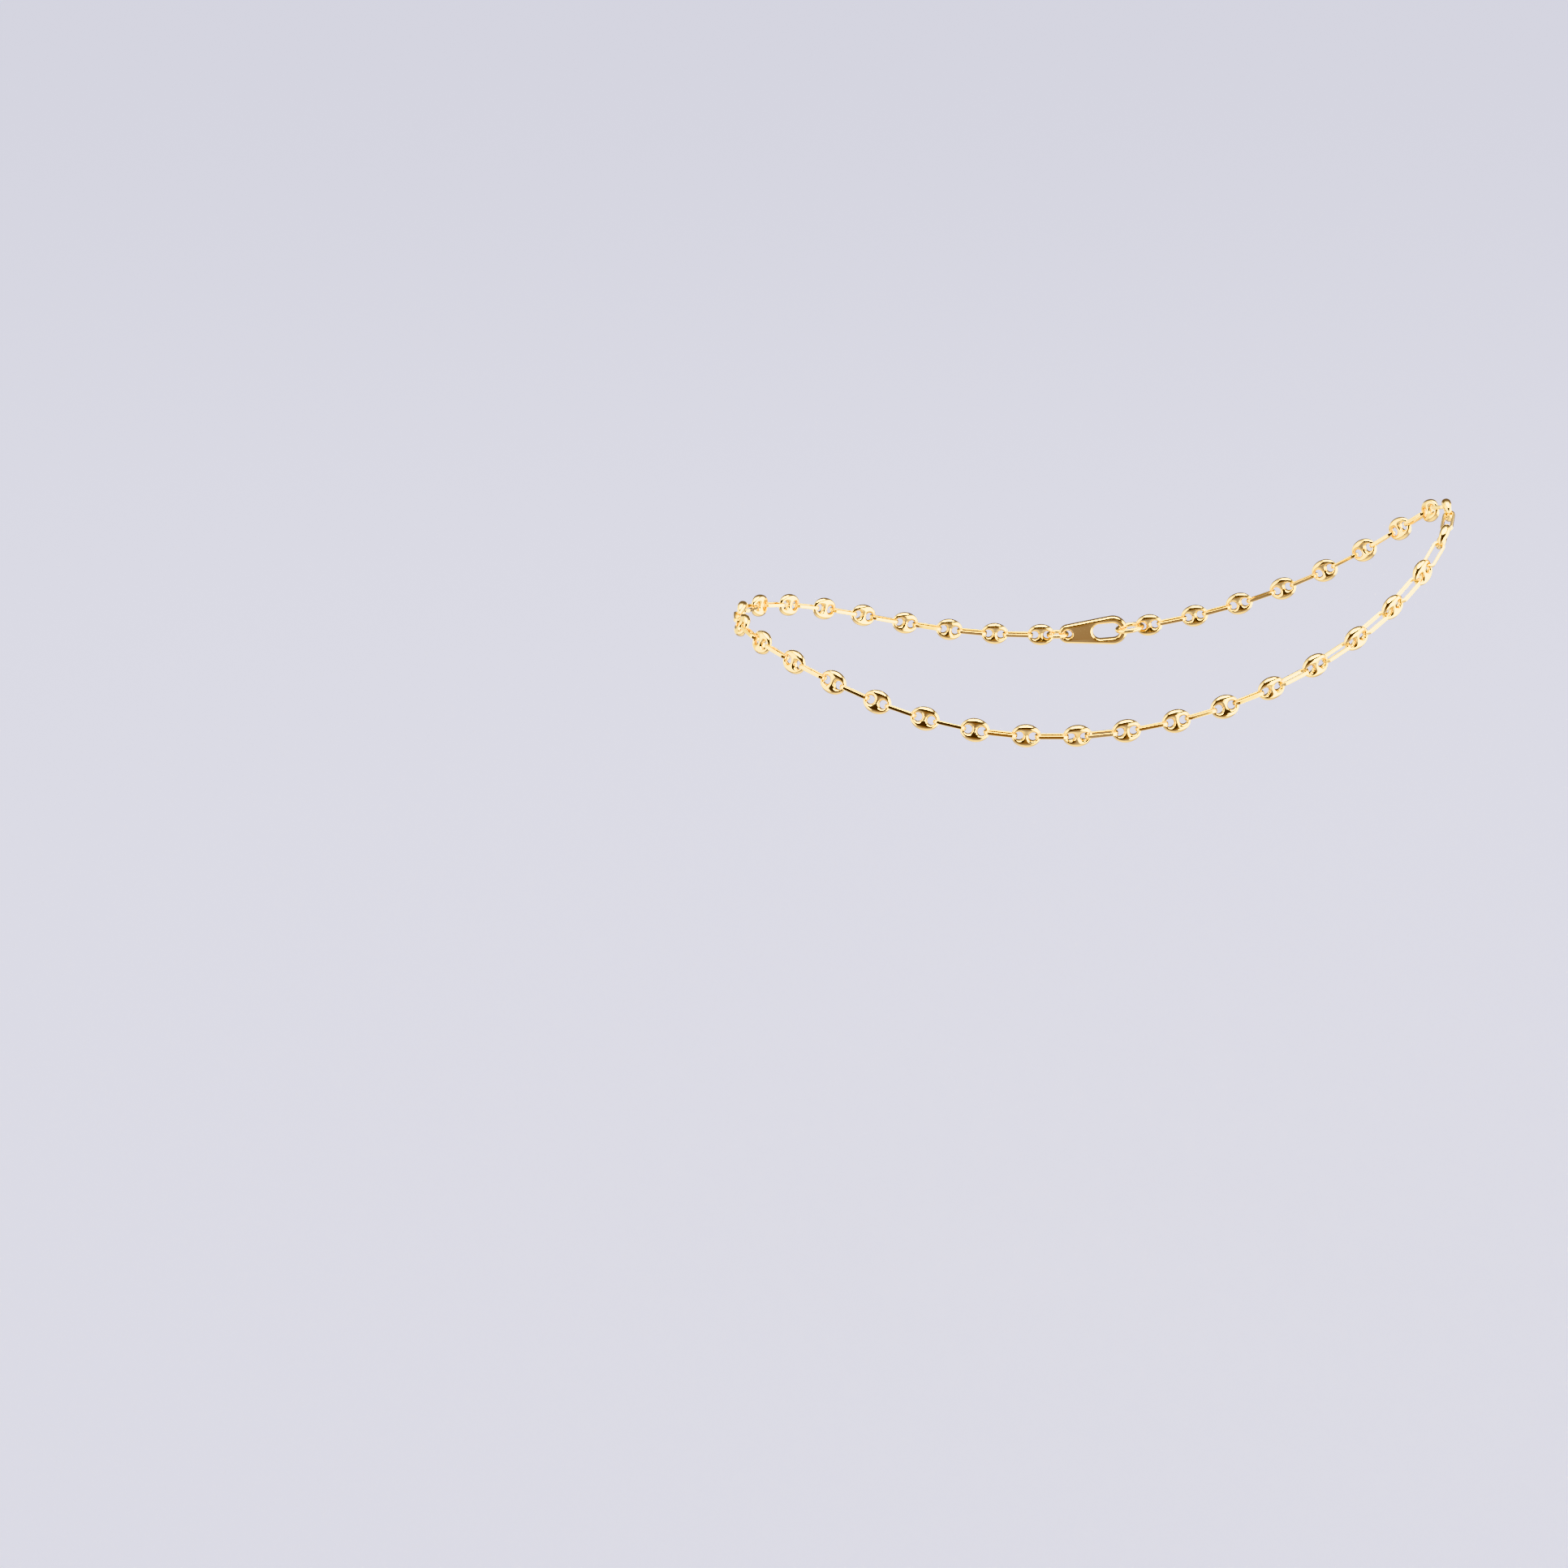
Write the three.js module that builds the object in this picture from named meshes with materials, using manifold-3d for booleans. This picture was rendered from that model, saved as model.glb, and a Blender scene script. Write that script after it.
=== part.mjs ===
// A chain anklet of puffed oval links joined by narrow strip links.
// Millimetres, +Z up along the leg, +X towards the heel, origin at the middle of the ankle.
import * as THREE from 'three';
import { mergeVertices } from 'three/addons/utils/BufferGeometryUtils.js';
import Module from 'manifold-3d';

const manifoldLibrary = await Module();
manifoldLibrary.setup();

// Puffed link: an oval cushion with two round holes, which lies flat against the ankle
const puffLength = 3.9;
const puffWidth = 3.15;
const puffThickness = 1.25;
const holeDiameter = 1.15;
const holeSpacing = 1.85;
const rimRollWidth = 0.78;
const rimRollPower = 2.2;
const endTaperPower = 4;

// Strip link: a long closed loop of flat strip, which stands across the puffed links
const stripInnerLength = 3.8;
const stripOuterWidth = 1.65;
const stripThickness = 0.34;
const stripBreadth = 0.46;

// Clasp and the two round rings that it joins
const claspLength = 10;
const claspThickness = 1.3;
const claspEdgeRounding = 0.3;
const claspClawRadius = 2.1;
const claspMouthRadius = 1.15;
const claspMouthReach = 1.8;
const claspEyeRadius = 1.35;
const claspEyeHoleRadius = 0.6;
const claspRingInnerDiameter = 2.2;
const claspRingWire = 0.55;
const endRingInnerDiameter = 3;
const endRingWire = 0.65;

// How the pieces meet: touching links are fused by a little depth, the others are a clearance apart
const fuseDepth = 0.03;
const meetClearance = 0.2;
const ringClearance = 0.15;

// The links are counted from the heel, along the outer side of the ankle to the instep and back
const puffCount = 36;
const puffsBeforeMeeting = 10;
const puffsBeforeClasp = 28;

// How far each shown link leans its face upwards, in degrees; the hidden ones hang straight
const shownPuffLeans = [15, -20, 2, -12, -12, -8, -6, 12, 4, 0, -15, -2, 13, 14, 17, 12, 5, 15, 25, 10];
const shownStripLeans = [15, -25, -16, -16, -10, 0, 10, 13, 12, 0, 4, 5, 17, 17, 18, 18, 22, 27, 18, 5];

// Route round the ankle, as shares of its reach, which follows from the length of the chain
const route = {
  firstLinkTurn: -0.005,
  heelShift: 0.047,
  endSlimming: 0.012,
  endFlatness: 0.021,
  sideReach: 0.515,
  heelTaper: 0.025,
  heelRise: 0.124,
  sideSag: 0.175,
  endLift: 0.033,
};

// Fineness of the faceted shapes
const rimSides = 7;
const middleSides = 3;
const domeSteps = 3;
const stripArcSteps = 2;
const ringSides = 14;
const wireSides = 6;
const claspArcSteps = 6;
const heightSamples = 50;
const mergeDistance = 1e-5;
const cleaningDistance = 0.004;
const tiny = 1e-9;

const up = new THREE.Vector3(0, 0, 1);

// Route point at a turn: 0 at the heel, 0.25 at the middle of the shown side, 0.5 at the instep
function routePoint(turn, reach) {
  const angle = 2 * Math.PI * turn;
  const x = Math.cos(angle) + route.heelShift * Math.cos(2 * angle)
    - route.endSlimming * Math.cos(3 * angle) - route.endFlatness * Math.cos(4 * angle);
  const y = route.heelTaper * Math.sin(2 * angle) - route.sideReach * Math.sin(angle);
  const z = route.heelRise * Math.cos(angle) + route.sideSag * Math.cos(2 * angle)
    + route.endLift * Math.cos(3 * angle);
  return new THREE.Vector3(x, y, z).multiplyScalar(reach);
}

// Halves a range, in which the function rises through zero, until no number is left between its ends
function findRoot(rising, low, high) {
  let below = low;
  let above = high;
  let middle = (below + above) / 2;
  while (below < middle && middle < above) {
    if (rising(middle) < 0) {
      below = middle;
    } else {
      above = middle;
    }
    middle = (below + above) / 2;
  }
  return middle;
}

// Turns at which the pieces meet, when each spans its own length straight across the route
function meetingTurns(spans, reach) {
  const turns = [route.firstLinkTurn];
  for (const span of spans) {
    const start = turns.at(-1);
    const from = routePoint(start, reach);
    const farthest = start + span / reach;
    turns.push(findRoot((turn) => routePoint(turn, reach).distanceTo(from) - span, start, farthest));
  }
  return turns;
}

// Length of each kind of piece from meeting point to meeting point
const claspHolesApart = claspLength - claspEyeRadius - claspClawRadius;
const spans = {
  puff: holeSpacing + holeDiameter,
  strip: stripInnerLength,
  meetingStrip: stripInnerLength - meetClearance,
  claspRing: claspRingInnerDiameter - 2 * ringClearance,
  clasp: claspHolesApart + claspEyeHoleRadius + claspMouthRadius,
  endRing: endRingInnerDiameter - 2 * ringClearance,
};

// Every piece of the loop in order, each strip link after its puffed link
function listPieces() {
  const pieces = [];
  for (let index = 0; index < puffCount; index += 1) {
    const onInstepHalf = index >= puffsBeforeMeeting && index < puffsBeforeClasp;
    const half = onInstepHalf ? 'instep' : 'heel';
    const stripLean = shownStripLeans[index] ?? 0;
    pieces.push({ kind: 'puff', half, lean: shownPuffLeans[index] ?? 0 });
    if (index + 1 === puffsBeforeClasp) {
      for (const kind of ['claspRing', 'clasp', 'endRing']) {
        pieces.push({ kind, half: 'neither', lean: 0 });
      }
    } else if (index + 1 === puffsBeforeMeeting) {
      pieces.push({ kind: 'meetingStrip', half, lean: stripLean });
    } else {
      pieces.push({ kind: 'strip', half, lean: stripLean });
    }
  }
  return pieces;
}

// Scales the route until the pieces close the loop, which is more than four reaches long, then gives
// each piece its frame between its two meeting points: x along the chain and z away from the ankle
function placePieces(pieces) {
  const lengths = pieces.map((piece) => spans[piece.kind]);
  const total = lengths.reduce((sum, length) => sum + length, 0);
  const overrun = (reach) => route.firstLinkTurn + 1 - meetingTurns(lengths, reach).at(-1);
  const reach = findRoot(overrun, 0, total / 4);
  const points = meetingTurns(lengths, reach).map((turn) => routePoint(turn, reach));
  pieces.forEach((piece, order) => {
    const start = points[order];
    const end = points[order + 1];
    const along = end.clone().sub(start).normalize();
    const outward = up.clone().cross(along).normalize();
    outward.applyAxisAngle(along, THREE.MathUtils.degToRad(piece.lean));
    const across = outward.clone().cross(along);
    piece.frame = new THREE.Matrix4().makeBasis(along, across, outward);
    piece.frame.setPosition(start.clone().add(end).multiplyScalar(0.5));
  });
}

// Height of a puffed link over its middle plane, up to a scale: nothing at its rim and its holes, with
// a rolled rim, a taper to both ends and a face that dishes towards the holes
function puffHeight(x, y) {
  const rimShare = Math.hypot(2 * x / puffLength, 2 * y / puffWidth);
  const steepness = Math.hypot(4 * x / puffLength ** 2, 4 * y / puffWidth ** 2);
  const rimDistance = Math.max(0, 1 - rimShare) * rimShare / Math.max(steepness, tiny);
  const roll = Math.max(0, 1 - rimDistance / rimRollWidth);
  const rim = (1 - roll ** rimRollPower) ** (1 / rimRollPower);
  const taper = 1 - Math.min(1, Math.abs(2 * x / puffLength)) ** endTaperPower;
  const clearOfHole = (holeX) => Math.max(0, 1 - (holeDiameter / 2 / Math.hypot(x - holeX, y)) ** 2);
  return rim * Math.sqrt(taper * clearOfHole(holeSpacing / 2) * clearOfHole(-holeSpacing / 2));
}

// Directions round a hole: the first ones end at the rim, the last ones on the line between the holes
function rimDirections() {
  const corner = Math.atan2(puffWidth / 2, -holeSpacing / 2);
  const directions = [];
  for (let side = 0; side <= rimSides; side += 1) {
    directions.push(corner * (2 * side / rimSides - 1));
  }
  for (let side = 1; side < middleSides; side += 1) {
    directions.push(corner + 2 * (Math.PI - corner) * side / middleSides);
  }
  return directions;
}

// Distance from a hole's centre to the rim, or to the line between the holes if that comes first
function reachOfHalf(direction) {
  const dx = Math.cos(direction);
  const dy = Math.sin(direction);
  const a = (2 * dx / puffLength) ** 2 + (2 * dy / puffWidth) ** 2;
  const b = 4 * dx * holeSpacing / puffLength ** 2;
  const c = (holeSpacing / puffLength) ** 2 - 1;
  const toRim = (Math.sqrt(b * b - 4 * a * c) - b) / (2 * a);
  const toMiddle = dx < 0 ? -holeSpacing / 2 / dx : toRim;
  return Math.min(toRim, toMiddle);
}

// Puffed link: a ring of faces round each hole, on both sides of the middle plane
function puffGeometry() {
  const heights = [];
  for (let sample = 0; sample < heightSamples; sample += 1) {
    heights.push(puffHeight(0, puffWidth / 2 * sample / heightSamples));
  }
  const scale = puffThickness / 2 / Math.max(...heights);
  const directions = rimDirections();
  const vertex = (side, step, half, face) => {
    const direction = directions[side % directions.length];
    const hole = holeDiameter / 2;
    const distance = hole + (reachOfHalf(direction) - hole) * step / domeSteps;
    const x = holeSpacing / 2 + Math.cos(direction) * distance;
    const y = Math.sin(direction) * distance;
    return [x * half, y, step === 0 ? 0 : face * scale * puffHeight(x, y)];
  };
  const corners = [];
  for (const [half, face] of [[1, 1], [1, -1], [-1, 1], [-1, -1]]) {
    for (let side = 0; side < directions.length; side += 1) {
      for (let step = 0; step < domeSteps; step += 1) {
        const a = vertex(side, step, half, face);
        const b = vertex(side, step + 1, half, face);
        const c = vertex(side + 1, step + 1, half, face);
        const d = vertex(side + 1, step, half, face);
        corners.push(...(half === face ? [a, b, c, a, c, d] : [a, c, b, a, d, c]).flat());
      }
    }
  }
  const geometry = new THREE.BufferGeometry();
  geometry.setAttribute('position', new THREE.Float32BufferAttribute(corners, 3));
  return geometry;
}

// Outline of two round ends joined by straight sides
function stadium(path, startX, endX, radius) {
  path.absarc(endX, 0, radius, -Math.PI / 2, Math.PI / 2, false);
  path.absarc(startX, 0, radius, Math.PI / 2, 1.5 * Math.PI, false);
  path.closePath();
  return path;
}

// Strip link: each end sinks by its own amount into the puffed link that it holds
function stripGeometry(span, startSink, endSink) {
  const innerRadius = stripOuterWidth / 2 - stripThickness;
  const startX = startSink + innerRadius - span / 2;
  const endX = span / 2 - endSink - innerRadius;
  const outline = stadium(new THREE.Shape(), startX, endX, stripOuterWidth / 2);
  outline.holes.push(stadium(new THREE.Path(), startX, endX, innerRadius));
  const geometry = new THREE.ExtrudeGeometry(outline, {
    depth: stripBreadth,
    bevelEnabled: false,
    curveSegments: stripArcSteps,
  });
  geometry.translate(0, 0, -stripBreadth / 2);
  geometry.rotateX(Math.PI / 2);
  return geometry;
}

function ringGeometry(innerDiameter, wire) {
  const geometry = new THREE.TorusGeometry((innerDiameter + wire) / 2, wire / 2, wireSides, ringSides);
  geometry.rotateX(Math.PI / 2);
  return geometry;
}

// Clasp: a drop-shaped plate with the eye for its ring at -x and the closed claw's mouth at +x
function claspGeometry() {
  const rounding = claspEdgeRounding;
  const eyeX = claspEyeHoleRadius - spans.clasp / 2;
  const clawX = spans.clasp / 2 - claspMouthRadius;
  const flare = Math.acos((claspEyeRadius - claspClawRadius) / claspHolesApart);
  const outline = new THREE.Shape();
  outline.absarc(clawX, 0, claspClawRadius - rounding, -flare, flare, false);
  outline.absarc(eyeX, 0, claspEyeRadius - rounding, flare, 2 * Math.PI - flare, false);
  outline.closePath();
  const eye = new THREE.Path();
  eye.absarc(eyeX, 0, claspEyeHoleRadius + rounding, 0, 2 * Math.PI, false);
  const mouth = stadium(new THREE.Path(), clawX - claspMouthReach, clawX, claspMouthRadius + rounding);
  outline.holes.push(eye, mouth);
  const geometry = new THREE.ExtrudeGeometry(outline, {
    depth: claspThickness - 2 * rounding,
    bevelEnabled: true,
    bevelThickness: rounding,
    bevelSize: rounding,
    bevelSegments: 1,
    curveSegments: claspArcSteps,
  });
  geometry.translate(0, 0, rounding - claspThickness / 2);
  return geometry;
}

function toSolid(geometry) {
  const bare = geometry.clone();
  bare.deleteAttribute('normal');
  bare.deleteAttribute('uv');
  const merged = mergeVertices(bare, mergeDistance);
  return new manifoldLibrary.Manifold(new manifoldLibrary.Mesh({
    numProp: 3,
    vertProperties: Float32Array.from(merged.attributes.position.array),
    triVerts: Uint32Array.from(merged.index.array),
  }));
}

function toGeometry(solid) {
  const mesh = solid.getMesh();
  const geometry = new THREE.BufferGeometry();
  geometry.setAttribute('position', new THREE.BufferAttribute(mesh.vertProperties, 3));
  geometry.setIndex(new THREE.BufferAttribute(mesh.triVerts, 1));
  geometry.computeVertexNormals();
  return geometry;
}

const pieces = listPieces();
placePieces(pieces);

const linkSolids = {
  puff: toSolid(puffGeometry()),
  strip: toSolid(stripGeometry(spans.strip, fuseDepth, fuseDepth)),
  meetingStrip: toSolid(stripGeometry(spans.meetingStrip, fuseDepth, -meetClearance)),
};
const looseShapes = {
  claspRing: ringGeometry(claspRingInnerDiameter, claspRingWire),
  clasp: claspGeometry(),
  endRing: ringGeometry(endRingInnerDiameter, endRingWire),
};

const gold = new THREE.MeshStandardMaterial({ color: 0xe3b558, roughness: 0.18, metalness: 1 });

// Half of the chain: its links, fused where they touch
function chainHalf(name, half) {
  const solids = pieces
    .filter((piece) => piece.half === half)
    .map((piece) => linkSolids[piece.kind].transform(piece.frame.toArray()));
  const fused = manifoldLibrary.Manifold.union(solids).simplify(cleaningDistance);
  const mesh = new THREE.Mesh(toGeometry(fused), gold.clone());
  mesh.name = name;
  return mesh;
}

// A piece that stands by itself, placed by its frame
function loosePiece(name, kind) {
  const mesh = new THREE.Mesh(looseShapes[kind], gold.clone());
  mesh.name = name;
  mesh.applyMatrix4(pieces.find((piece) => piece.kind === kind).frame);
  return mesh;
}

const anklet = new THREE.Group();
anklet.name = 'anklet';
anklet.add(
  chainHalf('chain_heel_half', 'heel'),
  chainHalf('chain_instep_half', 'instep'),
  loosePiece('clasp_ring', 'claspRing'),
  loosePiece('clasp', 'clasp'),
  loosePiece('end_ring', 'endRing'),
);

export default anklet;
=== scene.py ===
"""Looks of a chain anklet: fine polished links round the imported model, a studio and the camera."""

import math

import bmesh
import bpy
import numpy as np
from mathutils import Matrix, Vector


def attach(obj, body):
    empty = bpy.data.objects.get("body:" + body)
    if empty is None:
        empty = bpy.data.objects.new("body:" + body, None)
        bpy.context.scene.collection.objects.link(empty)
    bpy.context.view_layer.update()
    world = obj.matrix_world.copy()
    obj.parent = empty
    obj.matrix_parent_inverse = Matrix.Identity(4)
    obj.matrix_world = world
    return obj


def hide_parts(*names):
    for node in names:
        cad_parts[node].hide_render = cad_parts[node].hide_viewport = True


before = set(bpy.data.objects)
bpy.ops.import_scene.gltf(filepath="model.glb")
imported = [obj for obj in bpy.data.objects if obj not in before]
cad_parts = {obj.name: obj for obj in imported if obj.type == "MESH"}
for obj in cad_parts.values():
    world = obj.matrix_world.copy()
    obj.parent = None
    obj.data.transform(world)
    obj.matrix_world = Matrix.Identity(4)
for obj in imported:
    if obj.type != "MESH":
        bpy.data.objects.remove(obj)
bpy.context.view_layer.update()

MM = 0.001

# Puffed link
PUFF_LENGTH = 3.9 * MM
PUFF_WIDTH = 3.15 * MM
PUFF_THICKNESS = 1.25 * MM
HOLE_DIAMETER = 1.15 * MM
HOLE_SPACING = 1.85 * MM
RIM_ROLL_WIDTH = 0.78 * MM
RIM_ROLL_POWER = 2.2
END_TAPER_POWER = 4

# Strip link
STRIP_INNER_LENGTH = 3.8 * MM
STRIP_OUTER_WIDTH = 1.65 * MM
STRIP_THICKNESS = 0.34 * MM
STRIP_BREADTH = 0.46 * MM
STRIP_EDGE_ROUNDING = 0.09 * MM

# Clasp and its two rings
CLASP_LENGTH = 10 * MM
CLASP_THICKNESS = 1.3 * MM
CLASP_EDGE_ROUNDING = 0.35 * MM
CLASP_CLAW_RADIUS = 2.1 * MM
CLASP_MOUTH_RADIUS = 1.15 * MM
CLASP_MOUTH_REACH = 1.8 * MM
CLASP_EYE_RADIUS = 1.35 * MM
CLASP_EYE_HOLE_RADIUS = 0.6 * MM
CLASP_RING_INNER_DIAMETER = 2.2 * MM
CLASP_RING_WIRE = 0.55 * MM
END_RING_INNER_DIAMETER = 3 * MM
END_RING_WIRE = 0.65 * MM

# How the pieces meet
MEET_CLEARANCE = 0.2 * MM
RING_CLEARANCE = 0.15 * MM

# The links are counted from the heel, along the shown side to the instep and back
PUFF_COUNT = 36
PUFFS_BEFORE_MEETING = 10
PUFFS_BEFORE_CLASP = 28
SHOWN_PUFF_LEANS = [15, -20, 2, -12, -12, -8, -6, 12, 4, 0, -15, -2, 13, 14, 17, 12, 5, 15, 25, 10]
SHOWN_STRIP_LEANS = [15, -25, -16, -16, -10, 0, 10, 13, 12, 0, 4, 5, 17, 17, 18, 18, 22, 27, 18, 5]

# Route round the ankle, as shares of its reach
FIRST_LINK_TURN = -0.005
HEEL_SHIFT = 0.047
END_SLIMMING = 0.012
END_FLATNESS = 0.021
SIDE_REACH = 0.515
HEEL_TAPER = 0.025
HEEL_RISE = 0.124
SIDE_SAG = 0.175
END_LIFT = 0.033

# Fineness
RIM_SIDES = 36
MIDDLE_SIDES = 24
DOME_STEPS = 14
STRIP_ARC_STEPS = 14
STRIP_SIDE_STEPS = 4
CORNER_STEPS = 4
RING_SIDES = 64
WIRE_SIDES = 20
CLASP_ARC_STEPS = 32
CLASP_BEVEL_STEPS = 5
HEIGHT_SAMPLES = 400
MERGE_DISTANCE = 0.0001 * MM
TINY = 1e-9

# Gold plating, with faint polishing marks that vary its tone and its roughness
GOLD = (0.95, 0.735, 0.37)
CHAIN_ROUGHNESS = 0.06
CLASP_ROUGHNESS = 0.09
MARKS_PER_METRE = 900
MARKS_DETAIL = 4
MARKS_TONE = 0.93
MARKS_ROUGHNESS = (0.7, 1.4)

# Camera, floor and lamp; the floor's size and the lamp's place and size are in metres
CAMERA_TARGET = Vector((-41.1, 0, -23.5)) * MM
CAMERA_DISTANCE = 450 * MM
CAMERA_ELEVATION = math.radians(18)
CAMERA_LENS = 73.2
SENSOR_WIDTH = 36
CAMERA_CLIP_START = 10 * MM
CAMERA_CLIP_END = 20
FLOOR_HEIGHT = -95 * MM
FLOOR_SIZE = 30
FLOOR_COLOUR = (1, 1, 1)
WORLD_COLOUR = (0.71, 0.71, 0.79)
LAMP_PLACE = (0, 0.1, 0.85)
LAMP_SIZE = 0.4
LAMP_COLOUR = (1, 0.98, 0.95)
LAMP_WATTS = 0.5

# Studio, which only the reflections show: its colour by elevation, then soft-edged patches over that.
# Azimuth 0 is towards the camera and 90 towards the heel; angles are in degrees, the radius in metres.
DOME_RADIUS = 3
DOME_COLUMNS = 180
DOME_ROWS = 90
# Columns: elevation, colour
DOME_COLOURS = [
    (-90, (1.8, 1.75, 1.7)),
    (-60, (1, 0.96, 0.95)),
    (-30, (0.5, 0.44, 0.44)),
    (0, (0.42, 0.33, 0.29)),
    (40, (0.42, 0.35, 0.33)),
    (70, (0.85, 0.82, 0.78)),
    (90, (1.3, 1.25, 1.2)),
]
# Columns: azimuth, elevation, half width, half height, softness, colour
DOME_PATCHES = [
    (76, 0, 50, 36, 0.15, (8, 8.4, 8)),
    (-84, 5, 30, 36, 0.2, (4, 4.1, 4)),
    (-140, 15, 28, 42, 0.15, (1.3, 1.3, 1.25)),
    (0, 90, 180, 35, 0.08, (10, 10.5, 10)),
    (-19, 13, 38, 13, 0.2, (0.06, 0.03, 0.015)),
    (0, 37, 60, 20, 0.12, (0.06, 0.03, 0.015)),
    (180, 22, 40, 22, 0.2, (0.25, 0.19, 0.14)),
    (0, -2, 30, 12, 0.4, (0.32, 0.18, 0.09)),
]
PATCH_SQUARENESS = 4

UP = Vector((0, 0, 1))


def route_point(turn, reach):
    """Route point at a turn: 0 at the heel, 0.25 at the middle of the shown side."""
    angle = 2 * math.pi * turn
    x = (
        math.cos(angle)
        + HEEL_SHIFT * math.cos(2 * angle)
        - END_SLIMMING * math.cos(3 * angle)
        - END_FLATNESS * math.cos(4 * angle)
    )
    y = HEEL_TAPER * math.sin(2 * angle) - SIDE_REACH * math.sin(angle)
    z = HEEL_RISE * math.cos(angle) + SIDE_SAG * math.cos(2 * angle) + END_LIFT * math.cos(3 * angle)
    return Vector((x, y, z)) * reach


def find_root(rising, low, high):
    """Halves a range, in which the function rises through zero, until no number is left in between."""
    middle = (low + high) / 2
    while low < middle < high:
        if rising(middle) < 0:
            low = middle
        else:
            high = middle
        middle = (low + high) / 2
    return middle


def meeting_turns(spans, reach):
    """Turns at which the pieces meet, when each spans its own length straight across the route."""
    turns = [FIRST_LINK_TURN]
    for span in spans:
        start = turns[-1]
        origin = route_point(start, reach)

        def overshoot(turn):
            return (route_point(turn, reach) - origin).length - span

        turns.append(find_root(overshoot, start, start + span / reach))
    return turns


# Length of each kind of piece from meeting point to meeting point
CLASP_HOLES_APART = CLASP_LENGTH - CLASP_EYE_RADIUS - CLASP_CLAW_RADIUS
SPANS = {
    "puff": HOLE_SPACING + HOLE_DIAMETER,
    "strip": STRIP_INNER_LENGTH,
    "meeting_strip": STRIP_INNER_LENGTH - MEET_CLEARANCE,
    "clasp_ring": CLASP_RING_INNER_DIAMETER - 2 * RING_CLEARANCE,
    "clasp": CLASP_HOLES_APART + CLASP_EYE_HOLE_RADIUS + CLASP_MOUTH_RADIUS,
    "end_ring": END_RING_INNER_DIAMETER - 2 * RING_CLEARANCE,
}


def lean_of(shown_leans, index):
    """How far a link leans its face upwards, in degrees; the hidden ones hang straight."""
    return shown_leans[index] if index < len(shown_leans) else 0


def list_pieces():
    """Kind, half of the chain and lean of every piece of the loop, in order."""
    pieces = []
    for index in range(PUFF_COUNT):
        on_instep = PUFFS_BEFORE_MEETING <= index < PUFFS_BEFORE_CLASP
        half = "chain_instep_half" if on_instep else "chain_heel_half"
        strip_lean = lean_of(SHOWN_STRIP_LEANS, index)
        pieces.append(("puff", half, lean_of(SHOWN_PUFF_LEANS, index)))
        if index + 1 == PUFFS_BEFORE_CLASP:
            pieces += [(kind, kind, 0) for kind in ("clasp_ring", "clasp", "end_ring")]
        elif index + 1 == PUFFS_BEFORE_MEETING:
            pieces.append(("meeting_strip", half, strip_lean))
        else:
            pieces.append(("strip", half, strip_lean))
    return pieces


def place_pieces(pieces):
    """Frames of the pieces: x along the chain, y across it and z away from the ankle."""
    spans = [SPANS[kind] for kind, _, _ in pieces]

    def overrun(reach):
        return FIRST_LINK_TURN + 1 - meeting_turns(spans, reach)[-1]

    # The loop is more than four reaches long
    reach = find_root(overrun, 0, sum(spans) / 4)
    points = [route_point(turn, reach) for turn in meeting_turns(spans, reach)]
    frames = []
    for (_, _, lean), start, end in zip(pieces, points, points[1:]):
        along = (end - start).normalized()
        outward = UP.cross(along).normalized()
        outward.rotate(Matrix.Rotation(math.radians(lean), 3, along))
        across = outward.cross(along)
        axes = Matrix((along, across, outward)).transposed().to_4x4()
        frames.append(Matrix.Translation((start + end) / 2) @ axes)
    return frames


def puff_height(x, y):
    """Height of a puffed link over its middle plane, up to a scale: a rolled rim and a dished face."""
    end_share = np.minimum(1, np.abs(2 * x / PUFF_LENGTH))
    rim_share = np.hypot(2 * x / PUFF_LENGTH, 2 * y / PUFF_WIDTH)
    steepness = np.hypot(4 * x / PUFF_LENGTH**2, 4 * y / PUFF_WIDTH**2)
    rim_distance = (1 - rim_share) * rim_share / np.maximum(steepness, TINY)
    roll = 1 - np.clip(rim_distance / RIM_ROLL_WIDTH, 0, 1)
    height = (1 - roll**RIM_ROLL_POWER) ** (1 / RIM_ROLL_POWER) * np.sqrt(1 - end_share**END_TAPER_POWER)
    for hole_x in (HOLE_SPACING / 2, -HOLE_SPACING / 2):
        hole_share = HOLE_DIAMETER / 2 / np.hypot(x - hole_x, y)
        height = height * np.sqrt(np.maximum(0, 1 - hole_share**2))
    return height


def rim_directions():
    """Directions round a hole: first those that end at the rim, then at the line between the holes."""
    corner = math.atan2(PUFF_WIDTH / 2, -HOLE_SPACING / 2)
    to_rim = np.linspace(-corner, corner, RIM_SIDES, endpoint=False)
    # Along the line between the holes the steps are closer together at the rim
    y = PUFF_WIDTH / 2 * np.cos(np.linspace(0, math.pi, MIDDLE_SIDES, endpoint=False))
    to_middle = np.arctan2(y, -HOLE_SPACING / 2) % (2 * math.pi)
    return np.concatenate([to_rim, to_middle])


def reach_of_half(directions):
    """Distance from a hole's centre to the rim, or to the line between the holes if that comes first."""
    dx = np.cos(directions)
    dy = np.sin(directions)
    a = (2 * dx / PUFF_LENGTH) ** 2 + (2 * dy / PUFF_WIDTH) ** 2
    b = 4 * dx * HOLE_SPACING / PUFF_LENGTH**2
    c = (HOLE_SPACING / PUFF_LENGTH) ** 2 - 1
    to_rim = (np.sqrt(b * b - 4 * a * c) - b) / (2 * a)
    to_middle = HOLE_SPACING / 2 / np.maximum(-dx, TINY)
    return np.minimum(to_rim, to_middle)


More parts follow.
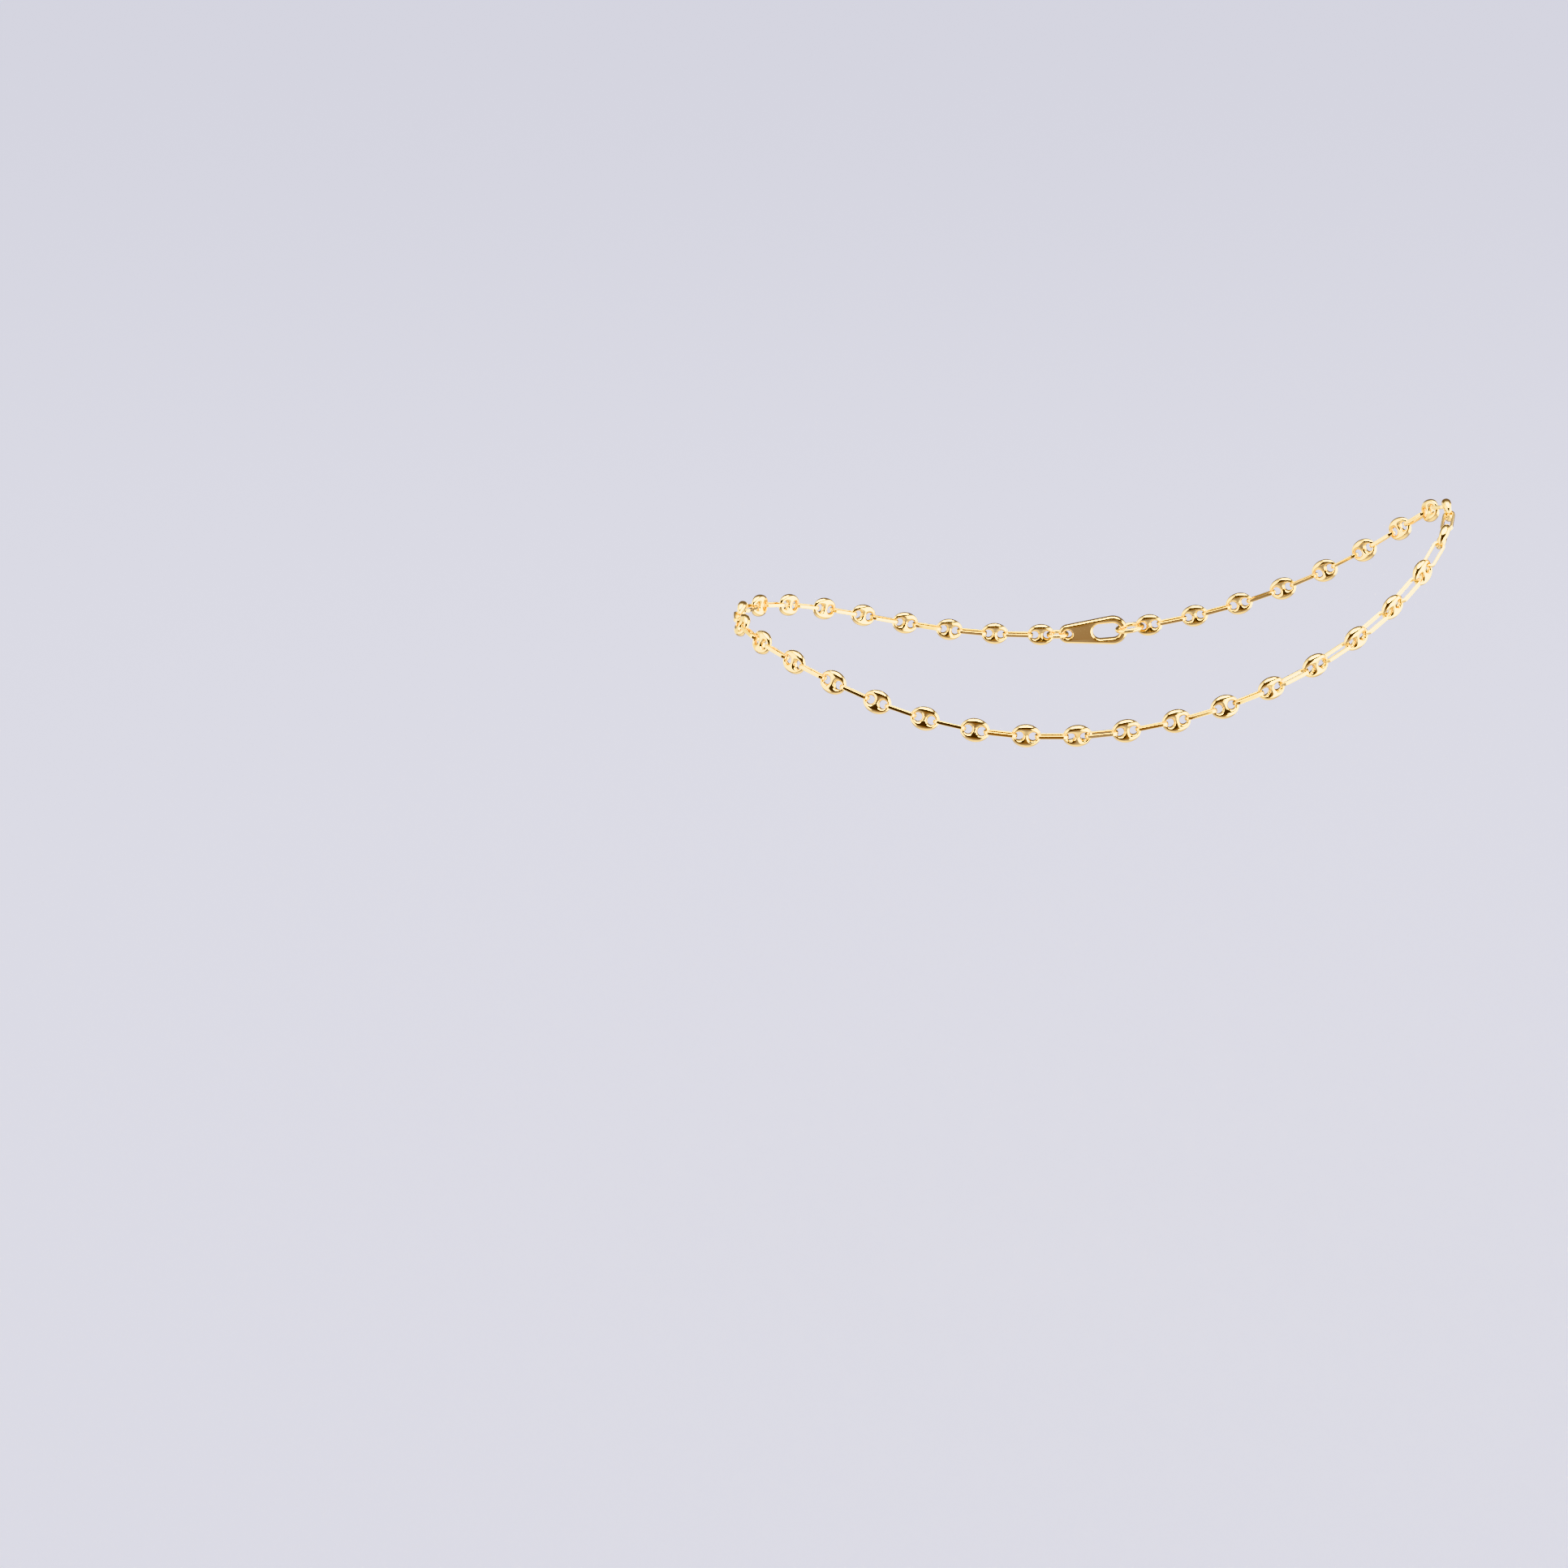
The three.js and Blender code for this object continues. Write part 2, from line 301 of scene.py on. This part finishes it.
def puff_shape():
    """Vertices and faces of a puffed link: a grid round each hole, on both sides of the middle plane."""
    directions = rim_directions()
    hole = HOLE_DIAMETER / 2
    # Steps are closer together at the hole and at the rim, where the form turns over
    shares = (1 - np.cos(np.linspace(0, math.pi, DOME_STEPS + 1))) / 2
    distance = hole + (reach_of_half(directions)[:, None] - hole) * shares[None, :]
    x = HOLE_SPACING / 2 + np.cos(directions)[:, None] * distance
    y = np.sin(directions)[:, None] * distance
    samples = np.linspace(0, PUFF_WIDTH / 2, HEIGHT_SAMPLES)
    height = puff_height(x, y) * PUFF_THICKNESS / 2 / puff_height(0 * samples, samples).max()
    height[:, 0] = 0
    sides, steps = x.shape
    vertices = []
    faces = []
    for half, face in ((1, 1), (1, -1), (-1, 1), (-1, -1)):
        first = len(vertices)
        vertices += np.stack([x * half, y, height * face], axis=-1).reshape(-1, 3).tolist()
        for side in range(sides):
            following = (side + 1) % sides
            for step in range(steps - 1):
                a = first + side * steps + step
                b = a + 1
                c = first + following * steps + step + 1
                d = c - 1
                faces.append((a, b, c, d) if half == face else (a, d, c, b))
    return vertices, faces


def strip_section():
    """Outline of the strip's section: a rectangle with rounded corners, in the strip's own plane."""
    points = []
    half_thickness = STRIP_THICKNESS / 2 - STRIP_EDGE_ROUNDING
    half_breadth = STRIP_BREADTH / 2 - STRIP_EDGE_ROUNDING
    for quarter, (u, v) in enumerate(((1, 1), (-1, 1), (-1, -1), (1, -1))):
        for step in range(CORNER_STEPS + 1):
            angle = math.pi / 2 * (quarter + step / CORNER_STEPS)
            points.append(
                (
                    u * half_thickness + math.cos(angle) * STRIP_EDGE_ROUNDING,
                    v * half_breadth + math.sin(angle) * STRIP_EDGE_ROUNDING,
                )
            )
    return points


def strip_path(start_x, end_x):
    """Middle line of the strip and its outward direction: two half circles joined by straight sides."""
    radius = (STRIP_OUTER_WIDTH - STRIP_THICKNESS) / 2
    path = []
    for centre_x, first_angle in ((end_x, -math.pi / 2), (start_x, math.pi / 2)):
        for step in range(STRIP_ARC_STEPS + 1):
            angle = first_angle + math.pi * step / STRIP_ARC_STEPS
            direction = (math.cos(angle), math.sin(angle))
            path.append((centre_x + radius * direction[0], radius * direction[1], direction))
        x, z, direction = path[-1]
        other_x = start_x if centre_x == end_x else end_x
        for step in range(1, STRIP_SIDE_STEPS):
            share = step / STRIP_SIDE_STEPS
            path.append((x + (other_x - centre_x) * share, z, direction))
    return path


def strip_shape(span, end_clearance):
    """Vertices and faces of a strip link, a closed loop of flat strip with rounded edges."""
    inner_radius = STRIP_OUTER_WIDTH / 2 - STRIP_THICKNESS
    path = strip_path(inner_radius - span / 2, span / 2 + end_clearance - inner_radius)
    section = strip_section()
    vertices = []
    for x, z, (dx, dz) in path:
        vertices += [(x + dx * u, v, z + dz * u) for u, v in section]
    faces = []
    count = len(section)
    for place in range(len(path)):
        following = (place + 1) % len(path)
        for corner in range(count):
            next_corner = (corner + 1) % count
            faces.append(
                (
                    place * count + corner,
                    place * count + next_corner,
                    following * count + next_corner,
                    following * count + corner,
                )
            )
    return vertices, faces


def ring_shape(inner_diameter, wire):
    """Vertices and faces of a round ring in the plane along the chain and away from the ankle."""
    radius = (inner_diameter + wire) / 2
    vertices = []
    faces = []
    for side in range(RING_SIDES):
        turn = 2 * math.pi * side / RING_SIDES
        for wire_side in range(WIRE_SIDES):
            roll = 2 * math.pi * wire_side / WIRE_SIDES
            distance = radius + wire / 2 * math.cos(roll)
            vertices.append((distance * math.cos(turn), wire / 2 * math.sin(roll), distance * math.sin(turn)))
            following = (side + 1) % RING_SIDES
            next_side = (wire_side + 1) % WIRE_SIDES
            faces.append(
                (
                    side * WIRE_SIDES + wire_side,
                    side * WIRE_SIDES + next_side,
                    following * WIRE_SIDES + next_side,
                    following * WIRE_SIDES + wire_side,
                )
            )
    return vertices, faces


def arc(centre_x, radius, first_angle, last_angle):
    """Points of an arc round a centre on the x axis."""
    angles = np.linspace(first_angle, last_angle, CLASP_ARC_STEPS + 1)
    return [(centre_x + radius * math.cos(angle), radius * math.sin(angle)) for angle in angles]


def clasp_shape():
    """Vertices and faces of the clasp: a drop-shaped plate with an eye and a closed mouth."""
    rounding = CLASP_EDGE_ROUNDING
    eye_x = CLASP_EYE_HOLE_RADIUS - SPANS["clasp"] / 2
    claw_x = SPANS["clasp"] / 2 - CLASP_MOUTH_RADIUS
    flare = math.acos((CLASP_EYE_RADIUS - CLASP_CLAW_RADIUS) / CLASP_HOLES_APART)
    outline = arc(claw_x, CLASP_CLAW_RADIUS, -flare, flare)
    outline += arc(eye_x, CLASP_EYE_RADIUS, flare, 2 * math.pi - flare)
    eye = arc(eye_x, CLASP_EYE_HOLE_RADIUS, 0, 2 * math.pi)[:-1]
    mouth = arc(claw_x, CLASP_MOUTH_RADIUS, -math.pi / 2, math.pi / 2)
    mouth += arc(claw_x - CLASP_MOUTH_REACH, CLASP_MOUTH_RADIUS, math.pi / 2, 1.5 * math.pi)
    curve = bpy.data.curves.new("clasp_outline", "CURVE")
    curve.dimensions = "2D"
    curve.fill_mode = "BOTH"
    curve.extrude = CLASP_THICKNESS / 2 - rounding
    curve.bevel_depth = rounding
    curve.bevel_resolution = CLASP_BEVEL_STEPS
    curve.offset = -rounding
    for points in (outline, eye, mouth):
        spline = curve.splines.new("POLY")
        spline.points.add(len(points) - 1)
        for point, (x, y) in zip(spline.points, points):
            point.co = (x, y, 0, 1)
        spline.use_cyclic_u = True
    holder = bpy.data.objects.new("clasp_outline", curve)
    bpy.context.scene.collection.objects.link(holder)
    mesh = bpy.data.meshes.new_from_object(holder.evaluated_get(bpy.context.evaluated_depsgraph_get()))
    vertices = [tuple(vertex.co) for vertex in mesh.vertices]
    faces = [tuple(polygon.vertices) for polygon in mesh.polygons]
    bpy.data.objects.remove(holder)
    bpy.data.curves.remove(curve)
    bpy.data.meshes.remove(mesh)
    return vertices, faces


SHAPES = {
    "puff": puff_shape(),
    "strip": strip_shape(SPANS["strip"], 0),
    "meeting_strip": strip_shape(SPANS["meeting_strip"], MEET_CLEARANCE),
    "clasp_ring": ring_shape(CLASP_RING_INNER_DIAMETER, CLASP_RING_WIRE),
    "clasp": clasp_shape(),
    "end_ring": ring_shape(END_RING_INNER_DIAMETER, END_RING_WIRE),
}


def shade_smoothly(mesh):
    """Shades every vertex by the area of the faces round it, so that large flat faces stay flat."""
    normals = np.zeros((len(mesh.vertices), 3))
    for polygon in mesh.polygons:
        for vertex in polygon.vertices:
            normals[vertex] += np.array(polygon.normal) * polygon.area
    normals /= np.linalg.norm(normals, axis=1)[:, None]
    mesh.shade_smooth()
    mesh.normals_split_custom_set_from_vertices(normals.tolist())


def make_piece(name, members, material):
    """Makes one object of several placed shapes, which stands for the node of the same name."""
    vertices = []
    faces = []
    for kind, place in members:
        first = len(vertices)
        shape_vertices, shape_faces = SHAPES[kind]
        vertices += [tuple(place @ Vector(vertex)) for vertex in shape_vertices]
        faces += [tuple(first + index for index in face) for face in shape_faces]
    mesh = bpy.data.meshes.new(name + "_fine")
    mesh.from_pydata(vertices, [], faces)
    working = bmesh.new()
    working.from_mesh(mesh)
    bmesh.ops.remove_doubles(working, verts=working.verts, dist=MERGE_DISTANCE)
    bmesh.ops.recalc_face_normals(working, faces=working.faces)
    working.to_mesh(mesh)
    working.free()
    shade_smoothly(mesh)
    mesh.materials.append(material)
    piece = bpy.data.objects.new(name + "_fine", mesh)
    bpy.context.scene.collection.objects.link(piece)
    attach(piece, "root")
    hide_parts(name)


def gold_material(name, roughness):
    """Polished gold plating with faint polishing marks."""
    material = bpy.data.materials.new(name)
    material.use_nodes = True
    nodes = material.node_tree.nodes
    links = material.node_tree.links
    shader = nodes["Principled BSDF"]
    shader.inputs["Metallic"].default_value = 1
    place = nodes.new("ShaderNodeTexCoord")
    marks = nodes.new("ShaderNodeTexNoise")
    marks.inputs["Scale"].default_value = MARKS_PER_METRE
    marks.inputs["Detail"].default_value = MARKS_DETAIL
    links.new(place.outputs["Object"], marks.inputs["Vector"])
    tone = nodes.new("ShaderNodeMix")
    tone.data_type = "RGBA"
    tone.inputs["A"].default_value = (*GOLD, 1)
    tone.inputs["B"].default_value = (*[channel * MARKS_TONE for channel in GOLD], 1)
    links.new(marks.outputs["Fac"], tone.inputs["Factor"])
    links.new(tone.outputs["Result"], shader.inputs["Base Color"])
    spread = nodes.new("ShaderNodeMapRange")
    spread.inputs["To Min"].default_value = roughness * MARKS_ROUGHNESS[0]
    spread.inputs["To Max"].default_value = roughness * MARKS_ROUGHNESS[1]
    links.new(marks.outputs["Fac"], spread.inputs["Value"])
    links.new(spread.outputs["Result"], shader.inputs["Roughness"])
    return material


def make_floor():
    """A plain pale floor under the hanging anklet."""
    half = FLOOR_SIZE / 2
    mesh = bpy.data.meshes.new("floor")
    corners = [(-half, -half, FLOOR_HEIGHT), (half, -half, FLOOR_HEIGHT)]
    corners += [(half, half, FLOOR_HEIGHT), (-half, half, FLOOR_HEIGHT)]
    mesh.from_pydata(corners, [], [(0, 1, 2, 3)])
    material = bpy.data.materials.new("floor_paper")
    material.use_nodes = True
    shader = material.node_tree.nodes["Principled BSDF"]
    shader.inputs["Base Color"].default_value = (*FLOOR_COLOUR, 1)
    shader.inputs["Roughness"].default_value = 1
    shader.inputs["Specular IOR Level"].default_value = 0
    mesh.materials.append(material)
    floor = bpy.data.objects.new("floor", mesh)
    # The gold reflects the lower part of the studio instead
    floor.visible_glossy = False
    bpy.context.scene.collection.objects.link(floor)


def make_world():
    """Even light from all round, of the tone that the floor fades into."""
    world = bpy.data.worlds.new("studio")
    bpy.context.scene.world = world
    world.use_nodes = True
    background = world.node_tree.nodes["Background"]
    background.inputs["Color"].default_value = (*WORLD_COLOUR, 1)
    background.inputs["Strength"].default_value = 1


def make_lamp():
    """A soft lamp over the anklet, which lights the floor a little more in front."""
    light = bpy.data.lights.new("lamp", "AREA")
    light.size = LAMP_SIZE
    light.color = LAMP_COLOUR
    light.energy = LAMP_WATTS
    lamp = bpy.data.objects.new("lamp", light)
    lamp.location = LAMP_PLACE
    lamp.visible_camera = False
    lamp.visible_glossy = False
    bpy.context.scene.collection.objects.link(lamp)


def studio_colour(azimuth, elevation):
    """Colour of the studio in a direction, in degrees."""
    elevations, colours = zip(*DOME_COLOURS)
    colour = np.stack([np.interp(elevation, elevations, channel) for channel in zip(*colours)], axis=-1)
    for middle_azimuth, middle_elevation, half_width, half_height, softness, patch_colour in DOME_PATCHES:
        turn = np.abs((azimuth - middle_azimuth + 180) % 360 - 180) / half_width
        rise = np.abs(elevation - middle_elevation) / half_height
        edge = (turn**PATCH_SQUARENESS + rise**PATCH_SQUARENESS) ** (1 / PATCH_SQUARENESS)
        share = np.clip((1 + softness - edge) / (2 * softness), 0, 1)
        share = (share**2 * (3 - 2 * share))[..., None]
        colour = colour + (np.array(patch_colour) - colour) * share
    return colour


def make_dome():
    """The studio round the anklet: a glowing sphere that only reflections see."""
    azimuth, elevation = np.meshgrid(
        np.linspace(0, 360, DOME_COLUMNS + 1), np.linspace(-90, 90, DOME_ROWS + 1)
    )
    turn = np.radians(azimuth)
    rise = np.radians(elevation)
    towards = (np.cos(rise) * np.sin(turn), -np.cos(rise) * np.cos(turn), np.sin(rise))
    vertices = np.stack(towards, axis=-1).reshape(-1, 3) * DOME_RADIUS
    faces = []
    for row in range(DOME_ROWS):
        for column in range(DOME_COLUMNS):
            corner = row * (DOME_COLUMNS + 1) + column
            above = corner + DOME_COLUMNS + 1
            faces.append((corner, corner + 1, above + 1, above))
    mesh = bpy.data.meshes.new("studio_dome")
    mesh.from_pydata(vertices.tolist(), [], faces)
    colours = mesh.attributes.new("studio_colour", "FLOAT_COLOR", "POINT")
    seen = studio_colour(azimuth, elevation).reshape(-1, 3)
    colours.data.foreach_set("color", np.c_[seen, np.ones(len(seen))].ravel())
    material = bpy.data.materials.new("studio_dome")
    material.use_nodes = True
    nodes = material.node_tree.nodes
    links = material.node_tree.links
    nodes.remove(nodes["Principled BSDF"])
    shown = nodes.new("ShaderNodeAttribute")
    shown.attribute_name = "studio_colour"
    glow = nodes.new("ShaderNodeEmission")
    links.new(shown.outputs["Color"], glow.inputs["Color"])
    links.new(glow.outputs["Emission"], nodes["Material Output"].inputs["Surface"])
    material.cycles.emission_sampling = "NONE"
    mesh.materials.append(material)
    dome = bpy.data.objects.new("studio_dome", mesh)
    dome.visible_camera = False
    dome.visible_diffuse = False
    dome.visible_shadow = False
    bpy.context.scene.collection.objects.link(dome)


def make_camera():
    """The camera at the photograph's angle."""
    data = bpy.data.cameras.new("camera")
    data.lens = CAMERA_LENS
    data.sensor_width = SENSOR_WIDTH
    data.clip_start = CAMERA_CLIP_START
    data.clip_end = CAMERA_CLIP_END
    camera = bpy.data.objects.new("camera", data)
    back = Vector((0, -math.cos(CAMERA_ELEVATION), math.sin(CAMERA_ELEVATION)))
    camera.location = CAMERA_TARGET + back * CAMERA_DISTANCE
    camera.rotation_euler = (-back).to_track_quat("-Z", "Y").to_euler()
    bpy.context.scene.collection.objects.link(camera)
    bpy.context.scene.camera = camera


def make_anklet():
    """Both halves of the chain, the clasp and its rings."""
    materials = {
        "chain_gold": gold_material("chain_gold", CHAIN_ROUGHNESS),
        "clasp_gold": gold_material("clasp_gold", CLASP_ROUGHNESS),
    }
    pieces = list_pieces()
    members = {}
    for (kind, node, _), place in zip(pieces, place_pieces(pieces)):
        members.setdefault(node, []).append((kind, place))
    for node, placed in members.items():
        slot = "chain_gold" if node.startswith("chain_") else "clasp_gold"
        make_piece(node, placed, materials[slot])


make_camera()
make_floor()
make_world()
make_lamp()
make_dome()
make_anklet()
bpy.context.scene.view_settings.view_transform = "Khronos PBR Neutral"
